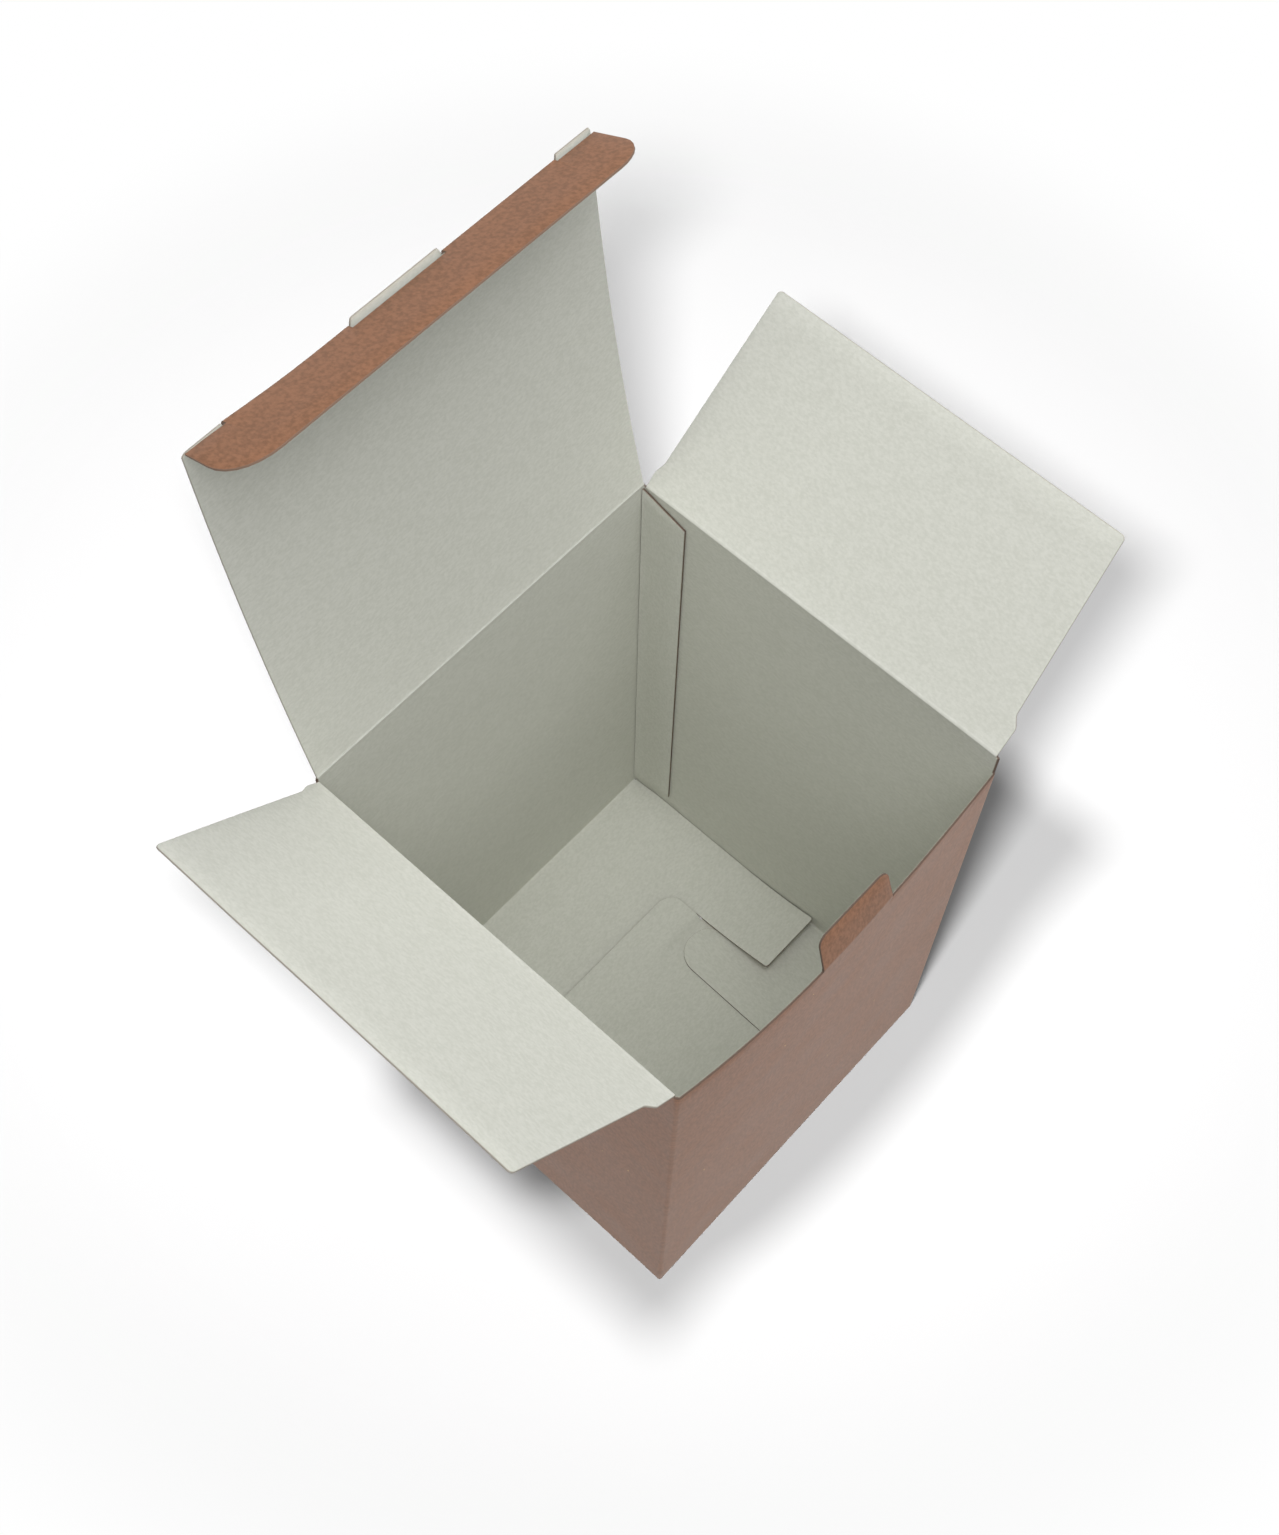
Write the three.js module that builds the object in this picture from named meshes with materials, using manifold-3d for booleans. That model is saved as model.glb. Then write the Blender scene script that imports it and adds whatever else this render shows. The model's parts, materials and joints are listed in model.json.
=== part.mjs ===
// Square gift box for one mug: one die-cut sheet of board, folded, glued along one side and standing open.
// Millimetres, +Z up. The origin is the middle of the underside of the base. The front wall faces -Y.
// Every panel between two folds is a solid of its own.

import * as THREE from 'three';
import { mergeVertices } from 'three/addons/utils/BufferGeometryUtils.js';
import Module from 'manifold-3d';

const wasm = await Module();
wasm.setup();

// Board
const boardThickness = 0.5;
const creaseGap = 0.4; // from a fold's axis to the edge of the panel on either side
const cutGap = 0.3; // between cut edges that pass each other
const glueThickness = 0.125;

// Sleeve, measured between the middles of opposite walls, and the heights of its top folds
const width = 100;
const depth = 100;
const dustCreaseHeight = 145;
const lidCreaseRise = 0.75; // above the dust flaps' folds, so that the lid closes over them
const tabCreaseDrop = 0.1; // below the dust flaps' folds, level with the slot in the tuck flap

// Front wall
const frontBow = 3.5; // of its free top edge, outwards
const frontBowSkewShare = 0.5; // how much of the bow leans towards the left
const frontBowPower = 1.5; // how fast the bow grows with height
const frontCornerDrop = 6; // its top edge runs down to the right-hand corner
const frontCornerRun = 37.3; // length of that slope

// Lid
const lidLength = 98.3; // from the back fold to the tuck fold
const lidSideInset = 0.4;
const lidBow = 1.8;
const lipReach = 1.4; // of the tongue and the ears past the tuck fold
const tongueWidth = 22.4;
const earWidth = 9.3;
const lipSlope = 0.6; // along the fold, of the cut ends of the tongue and the ears

// Tuck flap
const tuckDepth = 16.5;
const tuckSideInset = 0.7;
const tuckCornerRun = 9.5; // along the free edge
const tuckCornerRise = 8; // along the side

// Dust flaps
const dustLength = 52;
const dustEndInset = 0.8; // from the front and back folds at the flap's own fold
const shoulderLength = 7; // front edge that stays level before the step
const shoulderRun = 2.4;
const shoulderStep = 2.4;
const dustFrontTaper = 5.2; // at the free edge
const backShoulderLength = 4;
const backShoulderRun = 2.5;
const backShoulderStep = 1.8;
const dustBackTaper = 3.8;
const dustTipRadius = 1;

// Lock tab
const tabWidth = 22;
const tabLength = 10;
const tabTaper = 0.6; // of each side
const tabCornerRadius = 2.4;

// Glue flap
const glueFlapWidth = 13;
const glueFlapChamfer = 4.2;
const glueFlapTopInset = 0.6;
const glueFlapFootInset = 2.5;
const glueMargin = 1.2; // bare border round the film of glue

// Base, four flaps that lock in each other
const flapSideInset = 0.4; // from the walls beside a flap
const notchWidth = 60.6;
const notchDepth = 39.75; // from the back wall
const legReach = 25.65; // of both legs, past the notch's bottom
const legTipRadius = 0.8;
const legLift = 3.5; // of the right leg's tip, which springs up
const sideFlapFrontReach = 33.6; // from the side wall, at the flap's front end
const sideFlapBackReach = 32.2; // at its back end
const sideFlapFingerWidth = 13;
const sideFlapHeelInset = 19.5; // from the back wall, on the flap's fold
const tongueLap = 8.75; // of the front flap's tongue, past the notch's bottom
const tongueCornerRun = 5;
const tongueCornerRise = 4.5;
const rampRun = 3.5; // over which the front flap climbs to its tongue, past the side flaps
const frontFlapNeck = 6; // as wide as the tongue, before the ramp
const frontFlapTaperLength = 20; // over which the front flap narrows to its neck

// Angles of the open box, in degrees from closed, and of the lock tab from upright
const lidAngle = 99;
const tuckAngle = 72;
const rightDustAngle = 136.2;
const leftDustAngle = 137.8;
const tabAngle = 17;

// Colours of the two faces of the board and of the glue
const copperBoard = new THREE.MeshStandardMaterial({ color: 0xa1806a, roughness: 0.5, metalness: 0.25 });
const paleBoard = new THREE.MeshStandardMaterial({ color: 0xcfd0c4, roughness: 0.85, metalness: 0 });
const glue = new THREE.MeshStandardMaterial({ color: 0xe6e0cc, roughness: 0.4, metalness: 0 });

// Places that several panels share
const half = boardThickness / 2;
const innerX = width / 2 - half;
const innerY = depth / 2 - half;
const lidAxisHeight = dustCreaseHeight + lidCreaseRise;
const tabAxisHeight = dustCreaseHeight - tabCreaseDrop;
const frontTop = tabAxisHeight - creaseGap;
const notchBottomY = innerY - notchDepth;
const rampEnd = notchBottomY - cutGap;
const rampStart = rampEnd - rampRun;
const tallest = width + depth + dustCreaseHeight;
const bowCells = 16;
const curveSegments = 6;

function radians(degrees) {
  return THREE.MathUtils.degToRad(degrees);
}

// An outline from corners [x, y, reach, reach]. A corner with reaches is rounded, from the first reach before it
// to the second reach after it. One reach serves both.
function outline(corners) {
  const shape = new THREE.Shape();
  const points = corners.map(([x, y]) => new THREE.Vector2(x, y));
  corners.forEach(([, , before = 0, after = before], i) => {
    const corner = points[i];
    const previous = points[(i + points.length - 1) % points.length];
    const next = points[(i + 1) % points.length];
    const start = corner.clone().add(previous.clone().sub(corner).setLength(before));
    const end = corner.clone().add(next.clone().sub(corner).setLength(after));
    if (i === 0) {
      shape.moveTo(start.x, start.y);
    } else {
      shape.lineTo(start.x, start.y);
    }
    if (before > 0) {
      shape.quadraticCurveTo(corner.x, corner.y, end.x, end.y);
    }
  });
  shape.closePath();
  return shape;
}

// The other half of a symmetrical outline, in reverse order, with x turned round
function mirrored(corners) {
  return corners.map(([x, y, before = 0, after = before]) => [-x, y, after, before]).reverse();
}

// A flat panel, its middle plane at z = 0
function panel(corners, thickness = boardThickness) {
  const shape = outline(corners);
  const geometry = new THREE.ExtrudeGeometry(shape, { depth: thickness, bevelEnabled: false, curveSegments });
  return geometry.translate(0, 0, -thickness / 2);
}

function solid(geometry) {
  const bare = geometry.clone();
  bare.deleteAttribute('normal');
  bare.deleteAttribute('uv');
  const merged = mergeVertices(bare);
  const vertProperties = new Float32Array(merged.attributes.position.array);
  const triVerts = new Uint32Array(merged.index.array);
  return new wasm.Manifold(new wasm.Mesh({ numProp: 3, vertProperties, triVerts }));
}

function fromSolid(body) {
  const mesh = body.getMesh();
  const geometry = new THREE.BufferGeometry();
  geometry.setAttribute('position', new THREE.BufferAttribute(mesh.vertProperties, 3));
  geometry.setIndex(new THREE.BufferAttribute(mesh.triVerts, 1));
  geometry.computeVertexNormals();
  return geometry;
}

// Evenly spaced places from low to high
function spread(low, high, cells) {
  return Array.from({ length: cells + 1 }, (_, i) => low + ((high - low) * i) / cells);
}

// A panel whose middle plane stands rise(x, y) above z = 0. It bends only on the lines of xs and ys.
function bentPanel(corners, xs, ys, rise) {
  const columns = xs.length - 1;
  const rows = ys.length - 1;
  const slab = new THREE.BoxGeometry(columns, rows, boardThickness, columns, rows, 1);
  const places = slab.attributes.position;
  for (let i = 0; i < places.count; i += 1) {
    const x = xs[Math.round(places.getX(i) + columns / 2)];
    const y = ys[Math.round(places.getY(i) + rows / 2)];
    places.setXYZ(i, x, y, places.getZ(i) + rise(x, y));
  }
  return fromSolid(solid(slab).intersect(solid(panel(corners, tallest))));
}

function mesh(name, geometry, material) {
  const piece = new THREE.Mesh(geometry, material);
  piece.name = name;
  return piece;
}

// How far the front wall's middle plane bows out at a place on it
function bowOut(x, z) {
  const share = x / width + 1 / 2;
  const lean = 1 + frontBowSkewShare * (1 / 2 - share);
  return frontBow * 4 * share * (1 - share) * lean * (z / tabAxisHeight) ** frontBowPower;
}

function frontWall() {
  const slopeStart = innerX - frontCornerRun;
  const corners = [
    [-innerX, 0],
    [innerX, 0],
    [innerX, frontTop - frontCornerDrop],
    [slopeStart, frontTop],
    [-innerX, frontTop],
  ];
  const xs = spread(-innerX, innerX, bowCells);
  const ys = spread(0, frontTop, bowCells / 2);
  const wall = mesh('front_wall', bentPanel(corners, xs, ys, bowOut), copperBoard);
  wall.rotation.x = radians(90);
  wall.position.y = -depth / 2;
  return wall;
}

function uprightWall(name, length, height) {
  return mesh(name, new THREE.BoxGeometry(length, boardThickness, height).translate(0, 0, height / 2), copperBoard);
}

function backWall() {
  const rightEnd = innerX - glueThickness;
  const wall = uprightWall('back_wall', innerX + rightEnd, lidAxisHeight - creaseGap);
  wall.position.set((rightEnd - innerX) / 2, depth / 2, 0);
  return wall;
}

function sideWall(name, side) {
  const wall = uprightWall(name, depth + boardThickness, dustCreaseHeight - creaseGap);
  wall.rotation.z = radians(90);
  wall.position.x = (side * width) / 2;
  return wall;
}

// A panel that stands in the plane of the right wall, from corners [y, z], with its outer face at x
function standingPanel(name, corners, thickness, outerX, material) {
  const turn = new THREE.Matrix4().set(0, 0, 1, 0, 1, 0, 0, 0, 0, 1, 0, 0, 0, 0, 0, 1);
  const piece = mesh(name, panel(corners, thickness).applyMatrix4(turn), material);
  piece.position.x = outerX - thickness / 2;
  return piece;
}

function glueSeam() {
  const freeY = innerY - glueFlapWidth;
  const top = dustCreaseHeight - glueFlapTopInset;
  const flap = [
    [innerY, glueFlapFootInset],
    [innerY, top],
    [freeY, top - glueFlapChamfer],
    [freeY, glueFlapFootInset + glueFlapChamfer],
  ];
  const low = glueFlapFootInset + glueFlapChamfer + glueMargin;
  const high = top - glueFlapChamfer - glueMargin;
  const film = [
    [innerY - glueMargin, low],
    [innerY - glueMargin, high],
    [freeY + glueMargin, high],
    [freeY + glueMargin, low],
  ];
  return [
    standingPanel('glue_flap', flap, boardThickness, innerX - glueThickness, paleBoard),
    standingPanel('glue_film', film, glueThickness, innerX, glue),
  ];
}

// The lid and its tuck flap, drawn closed: they reach towards -Y from the fold, with the outside up
function lid() {
  const side = width / 2 - lidSideInset;
  const crease = creaseGap - lidLength;
  const lip = -lidLength - lipReach;
  const tongue = tongueWidth / 2;
  const ear = side - earWidth;
  const rightHalf = [
    [tongue - lipSlope, lip],
    [tongue, crease],
    [ear, crease],
    [ear + lipSlope, lip],
    [side, lip, lipSlope],
    [side, -creaseGap],
  ];
  const xs = [-side, side];
  const ys = spread(lip, 0, bowCells);
  const rise = (x, y) => {
    const share = Math.min(1, -y / lidLength);
    return lidBow * 4 * share * (1 - share);
  };
  const body = new THREE.Group();
  body.position.set(0, depth / 2, lidAxisHeight);
  body.rotation.x = -radians(lidAngle);
  body.add(mesh('lid_panel', bentPanel([...rightHalf, ...mirrored(rightHalf)], xs, ys, rise), paleBoard));
  body.add(tuckFlap(tongue, ear));
  return body;
}

function tuckFlap(tongue, ear) {
  const side = width / 2 - tuckSideInset;
  const slotBottom = -lipReach - cutGap;
  const rightHalf = [
    [side, slotBottom],
    [ear - cutGap, slotBottom],
    [ear - cutGap, -creaseGap],
    [tongue + cutGap, -creaseGap],
    [tongue + cutGap, slotBottom],
  ];
  const freeEdge = [
    [-side, -tuckDepth, tuckCornerRise, tuckCornerRun],
    [side, -tuckDepth, tuckCornerRun, tuckCornerRise],
  ];
  const flap = mesh('tuck_flap', panel([...rightHalf, ...mirrored(rightHalf), ...freeEdge]), copperBoard);
  flap.position.y = -lidLength;
  flap.rotation.x = radians(tuckAngle);
  return flap;
}

// A dust flap, drawn closed, from its fold towards the middle of the box. side is 1 on the right, -1 on the left.
function dustFlap(name, side, angle) {
  const front = -depth / 2;
  const back = depth / 2;
  const stepEnd = shoulderLength + shoulderRun;
  const backStepEnd = backShoulderLength + backShoulderRun;
  const corners = [
    [creaseGap, front + dustEndInset],
    [shoulderLength, front + dustEndInset],
    [stepEnd, front + shoulderStep],
    [dustLength, front + dustFrontTaper, dustTipRadius],
    [dustLength, back - dustBackTaper, dustTipRadius],
    [backStepEnd, back - backShoulderStep],
    [backShoulderLength, back - dustEndInset],
    [creaseGap, back - dustEndInset],
  ];
  const drawn = side < 0 ? corners : mirrored(corners);
  const flap = mesh(name, panel(drawn), paleBoard);
  flap.position.set((side * width) / 2, 0, dustCreaseHeight);
  flap.rotation.y = side * radians(angle);
  return flap;
}

// The lock tab, drawn upright on the front wall's top edge
function lockTab() {
  const root = tabWidth / 2;
  const rightHalf = [
    [root, creaseGap],
    [root - tabTaper, tabLength, tabCornerRadius],
  ];
  const tab = mesh('front_lock_tab', panel([...rightHalf, ...mirrored(rightHalf)]), copperBoard);
  tab.position.set(0, -depth / 2 - bowOut(0, tabAxisHeight), tabAxisHeight);
  tab.rotation.x = radians(90 - tabAngle);
  return tab;
}

// The base's flaps lie in layers, from the front flap on the ground up to its own tongue
function layer(count) {
  return count * boardThickness;
}

function baseBackFlap() {
  const side = innerX - flapSideInset;
  const notch = notchWidth / 2;
  const tip = notchBottomY - legReach;
  const rightHalf = [
    [notch, notchBottomY],
    [notch, tip, legTipRadius],
    [side, tip, legTipRadius],
    [side, innerY],
  ];
  const xs = [-side, 0, notch, side];
  const ys = [...spread(tip, notchBottomY, bowCells / 2), innerY];
  const rise = (x, y) => {
    const share = Math.max(0, (notchBottomY - y) / (notchBottomY - tip));
    return x >= notch ? legLift * share ** 2 : 0;
  };
  const flap = mesh('base_back_flap', bentPanel([...rightHalf, ...mirrored(rightHalf)], xs, ys, rise), paleBoard);
  flap.position.z = layer(2) + half;
  return flap;
}

function baseSideFlap(name, side) {
  const fingerTip = rampStart - cutGap;
  const fingerInner = innerX - sideFlapBackReach;
  const fingerOuter = fingerInner + sideFlapFingerWidth;
  const radius = sideFlapFingerWidth / 2;
  const corners = [
    [innerX, flapSideInset - innerY],
    [innerX, innerY - sideFlapHeelInset],
    [fingerOuter, fingerTip - radius],
    [fingerOuter, fingerTip, radius],
    [fingerInner, fingerTip, radius],
    [innerX - sideFlapFrontReach, flapSideInset - innerY],
  ];
  const flap = mesh(name, panel(side > 0 ? corners : mirrored(corners)), paleBoard);
  flap.position.z = layer(1) + half;
  return flap;
}

function baseFrontFlap() {
  const side = innerX - flapSideInset;
  const tongue = notchWidth / 2 - cutGap;
  const neckStart = rampStart - frontFlapNeck;
  const tip = notchBottomY + tongueLap;
  const rightHalf = [
    [side, -innerY],
    [side, neckStart - frontFlapTaperLength],
    [tongue, neckStart],
    [tongue, tip, tongueCornerRise, tongueCornerRun],
  ];
  const xs = [-side, side];
  const ys = [-innerY, rampStart, rampEnd, tip];
  const rise = (x, y) => (y >= rampEnd ? layer(3) : 0);
  const flap = mesh('base_front_flap', bentPanel([...rightHalf, ...mirrored(rightHalf)], xs, ys, rise), paleBoard);
  flap.position.z = half;
  return flap;
}

const giftBox = new THREE.Group();
giftBox.add(backWall(), sideWall('left_wall', -1), frontWall(), sideWall('right_wall', 1), ...glueSeam());
giftBox.add(lid(), dustFlap('left_dust_flap', -1, leftDustAngle), dustFlap('right_dust_flap', 1, rightDustAngle));
giftBox.add(lockTab(), baseBackFlap(), baseSideFlap('base_left_flap', -1), baseSideFlap('base_right_flap', 1));
giftBox.add(baseFrontFlap());

export default giftBox;
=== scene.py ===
"""Looks of a square gift box for one mug, standing open.

The box is one die-cut sheet of board, pearly copper outside and bare grey-white inside. Every panel between
two folds is a piece of its own here, cut flat, sliced where it bends, given its thickness and folded into
place. Lengths are millimetres until a finished mesh is scaled to metres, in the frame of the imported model.
"""

from __future__ import annotations

import json
import logging
import math
from dataclasses import dataclass, field
from enum import Enum
from typing import Callable, Iterable, Sequence

import bmesh
import bpy
from mathutils import Matrix, Vector, noise


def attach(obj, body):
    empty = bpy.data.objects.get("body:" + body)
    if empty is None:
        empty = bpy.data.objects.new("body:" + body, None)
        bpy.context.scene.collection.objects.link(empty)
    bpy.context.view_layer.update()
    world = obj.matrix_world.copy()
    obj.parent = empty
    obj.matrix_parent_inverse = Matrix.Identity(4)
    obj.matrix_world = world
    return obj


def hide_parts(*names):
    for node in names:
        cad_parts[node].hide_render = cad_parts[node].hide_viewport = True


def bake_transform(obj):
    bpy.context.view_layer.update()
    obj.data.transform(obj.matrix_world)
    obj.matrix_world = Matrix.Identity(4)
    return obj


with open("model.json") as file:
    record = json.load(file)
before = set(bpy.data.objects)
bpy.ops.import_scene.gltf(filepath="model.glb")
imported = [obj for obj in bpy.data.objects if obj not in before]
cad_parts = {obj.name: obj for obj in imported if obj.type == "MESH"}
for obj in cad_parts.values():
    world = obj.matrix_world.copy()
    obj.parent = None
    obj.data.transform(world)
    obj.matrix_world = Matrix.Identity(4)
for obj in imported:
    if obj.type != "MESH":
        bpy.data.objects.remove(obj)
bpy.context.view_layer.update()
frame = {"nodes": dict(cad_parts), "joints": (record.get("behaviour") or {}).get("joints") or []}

LOG = logging.getLogger("gift_box")
MM = 0.001
SNAP = 1e-4
UP = Vector((0, 0, 1))
SHARP_FOLD = math.radians(32)
SQUARE_FOLD = -90.0
Rule = Callable[[Vector], Vector]
Colour = tuple[float, float, float]
Place = tuple[float, float, float]


class Side(Enum):
    """A side of the box, with the direction across it and the direction that it faces."""

    FRONT = ((1, 0, 0), (0, -1, 0))
    BACK = ((1, 0, 0), (0, 1, 0))
    LEFT = ((0, 1, 0), (-1, 0, 0))
    RIGHT = ((0, 1, 0), (1, 0, 0))

    @property
    def across(self) -> Vector:
        """The direction along the wall."""
        return Vector(self.value[0])

    @property
    def out(self) -> Vector:
        """The direction that the wall faces."""
        return Vector(self.value[1])


class Face(Enum):
    """The three surfaces of a piece of board, in the order of its material slots."""

    OUTSIDE = 0
    INSIDE = 1
    CUT = 2


def spread(low: float, high: float, cells: int) -> list[float]:
    """Evenly spaced places.

    Args:
        low: The first place.
        high: The last place.
        cells: How many stretches lie between them.

    Returns:
        The places, both ends included.
    """
    return [low + (high - low) * i / cells for i in range(cells + 1)]


def ease(value: float, start: float, end: float) -> float:
    """A smooth step.

    Args:
        value: Where the step is read.
        start: Where it leaves 0.
        end: Where it reaches 1.

    Returns:
        The step's height, from 0 to 1.
    """
    share = clamped((value - start) / (end - start))
    return share * share * (3 - 2 * share)


def clamped(share: float) -> float:
    """A share, kept between 0 and 1."""
    return min(1.0, max(0.0, share))


def arch(share: float) -> float:
    """The height of a shallow arch.

    Args:
        share: How far along the arch it is read.

    Returns:
        0 at both ends and 1 in the middle.
    """
    return 4 * share * (1 - share)


def joint_place(name: str) -> Vector:
    """The place of a joint's axis.

    Args:
        name: The joint.

    Returns:
        A point on its axis, in millimetres.
    """
    found = next(joint for joint in frame["joints"] if joint["name"] == name)
    return Vector(found["pos_m"]) / MM


class Wire:
    """A shader socket that can stand in sums."""

    def __init__(self, graph: "Graph", socket: bpy.types.NodeSocket) -> None:
        """Keeps the socket and the graph that it belongs to."""
        self.graph = graph
        self.socket = socket

    def __add__(self, other: "Wire | float") -> "Wire":
        """This value plus another."""
        return self.graph.math("ADD", self, other)

    def __sub__(self, other: "Wire | float") -> "Wire":
        """This value less another."""
        return self.graph.math("SUBTRACT", self, other)

    def __rsub__(self, other: float) -> "Wire":
        """A number less this value."""
        return self.graph.math("SUBTRACT", other, self)

    def __mul__(self, other: "Wire | float") -> "Wire":
        """This value times another."""
        return self.graph.math("MULTIPLY", self, other)

    def __gt__(self, other: "Wire | float") -> "Wire":
        """1 where this value is the greater one."""
        return self.graph.math("GREATER_THAN", self, other)

    def __lt__(self, other: "Wire | float") -> "Wire":
        """1 where this value is the lesser one."""
        return self.graph.math("LESS_THAN", self, other)

    __radd__ = __add__
    __rmul__ = __mul__


class Graph:
    """The node tree of a material or a world."""

    def __init__(self, owner: bpy.types.Material | bpy.types.World) -> None:
        """Empties the owner's node tree and keeps it.

        Args:
            owner: The material or the world.
        """
        owner.use_nodes = True
        self.tree = owner.node_tree
        self.tree.nodes.clear()

    def node(self, kind: str, settings: dict | None = None, sockets: dict | None = None,
             output: int | str = 0) -> Wire:
        """Adds a node.

        Args:
            kind: The node's type.
            settings: Its properties, set first. The key "stops" holds a ramp's places and colours.
            sockets: Its inputs by name or number, each a plain value or a wire.
            output: The output that is wanted.

        Returns:
            The wanted output, or the node's first one.
        """
        made = self.tree.nodes.new(kind)
        for name, value in (settings or {}).items():
            if name == "stops":
                self._stops(made, value)
            else:
                setattr(made, name, value)
        for name, value in (sockets or {}).items():
            target = made.inputs[name]
            if isinstance(value, Wire):
                self.tree.links.new(value.socket, target)
            else:
                target.default_value = value
        return Wire(self, made.outputs[output]) if made.outputs else Wire(self, None)

    @staticmethod
    def _stops(ramp: bpy.types.Node, stops: Sequence[tuple[float, Colour]]) -> None:
        """Sets a ramp's stops.

        Args:
            ramp: The ramp.
            stops: The place and the colour of each stop, in rising order.
        """
        elements = ramp.color_ramp.elements
        for _ in range(len(stops) - len(elements)):
            elements.new(1.0)
        for element, (place, colour) in zip(elements, stops):
            element.position = place
            element.color = (*colour, 1.0)

    def math(self, operation: str, first: Wire | float, second: Wire | float) -> Wire:
        """Adds a Math node.

        Args:
            operation: What it works out.
            first: Its first value.
            second: Its second value.

        Returns:
            The result.
        """
        return self.node("ShaderNodeMath", {"operation": operation}, {0: first, 1: second})

    def mix(self, share: Wire | float, first: Wire | Colour, second: Wire | Colour) -> Wire:
        """Mixes two colours.

        Args:
            share: How much of the second one is used.
            first: The first colour.
            second: The second colour.

        Returns:
            The mixed colour.
        """
        ends = [end if isinstance(end, Wire) else (*end, 1.0) for end in (first, second)]
        share_socket, first_colour, second_colour, mixed_colour = 0, 6, 7, 2
        sockets = {share_socket: share, first_colour: ends[0], second_colour: ends[1]}
        return self.node("ShaderNodeMix", {"data_type": "RGBA"}, sockets, mixed_colour)

    def scaled(self, vector: Wire, factors: Place) -> Wire:
        """Stretches a vector.

        Args:
            vector: The vector.
            factors: The factor along each axis.

        Returns:
            The stretched vector.
        """
        return self.node("ShaderNodeVectorMath", {"operation": "MULTIPLY"}, {0: vector, 1: factors})

    def noise(self, vector: Wire, grain: float, detail: float = 2.0) -> Wire:
        """A cloudy pattern.

        Args:
            vector: Where it is read, in millimetres.
            grain: The size of its clouds.
            detail: How many finer layers it has.

        Returns:
            A value around 0.5.
        """
        sockets = {"Vector": vector, "Scale": 1 / grain, "Detail": detail}
        return self.node("ShaderNodeTexNoise", None, sockets, "Fac")

    def attribute(self, name: str, output: str = "Fac") -> Wire:
        """Reads one of the mesh's own attributes."""
        return self.node("ShaderNodeAttribute", {"attribute_name": name}, output=output)

    def rays(self, *kinds: str) -> Wire:
        """1 for the rays of some kinds.

        Args:
            kinds: The kinds, as Light Path names them after "Is".

        Returns:
            The sum of their switches.
        """
        switches = [self.node("ShaderNodeLightPath", output=f"Is {kind} Ray") for kind in kinds]
        return sum(switches[1:], switches[0])

    def mix_shaders(self, share: Wire, first: Wire, second: Wire) -> Wire:
        """Mixes two shaders by a share of the second one."""
        return self.node("ShaderNodeMixShader", None, {0: share, 1: first, 2: second})

    def surface(self, shader: Wire) -> None:
        """Puts a shader on the material's output."""
        self.node("ShaderNodeOutputMaterial", None, {"Surface": shader})


@dataclass(frozen=True)
class Grain:
    """The clouds and fibres of a face of the board, read on the flat sheet.

    Sizes are millimetres. The stretch draws the fibres out along the board. The two shares and the level
    say how clouds and fibres add up to a tone between the finish's dark and light colours.
    """

    cloud_size: float
    cloud_detail: float
    fibre_size: float
    stretch: Place
    cloud_share: float
    fibre_share: float
    level: float
    bump_strength: float
    bump_depth: float
    fibre_detail: float = 3.0

    def read(self, graph: Graph) -> tuple[Wire, Wire, Wire]:
        """Adds the pattern.

        Args:
            graph: The node tree that it is added to.

        Returns:
            The sheet's own places, the clouds and the fibres.
        """
        sheet = graph.attribute("sheet", "Vector")
        clouds = graph.noise(sheet, self.cloud_size, self.cloud_detail)
        fibres = graph.noise(graph.scaled(sheet, self.stretch), self.fibre_size, self.fibre_detail)
        return sheet, clouds, fibres

    def tone(self, clouds: Wire, fibres: Wire) -> Wire:
        """How light the board is, from 0 to 1."""
        return clouds * self.cloud_share + fibres * self.fibre_share + self.level

    def bump(self, graph: Graph, fibres: Wire) -> Wire:
        """The surface direction over the fibres."""
        sockets = {"Strength": self.bump_strength, "Distance": self.bump_depth * MM, "Height": fibres}
        return graph.node("ShaderNodeBump", None, sockets)


class Finish:
    """A finish of one surface of the box."""

    name: str

    def sockets(self, graph: Graph) -> dict[str, Wire | float]:
        """What the finish's shader is given.

        Args:
            graph: The node tree that the patterns are added to.

        Returns:
            The shader's sockets by name.
        """
        raise NotImplementedError

    def build(self) -> bpy.types.Material:
        """Makes the material.

        Returns:
            The material, with its node tree.
        """
        material = bpy.data.materials.new(self.name)
        graph = Graph(material)
        graph.surface(graph.node("ShaderNodeBsdfPrincipled", None, self.sockets(graph)))
        return material


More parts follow.
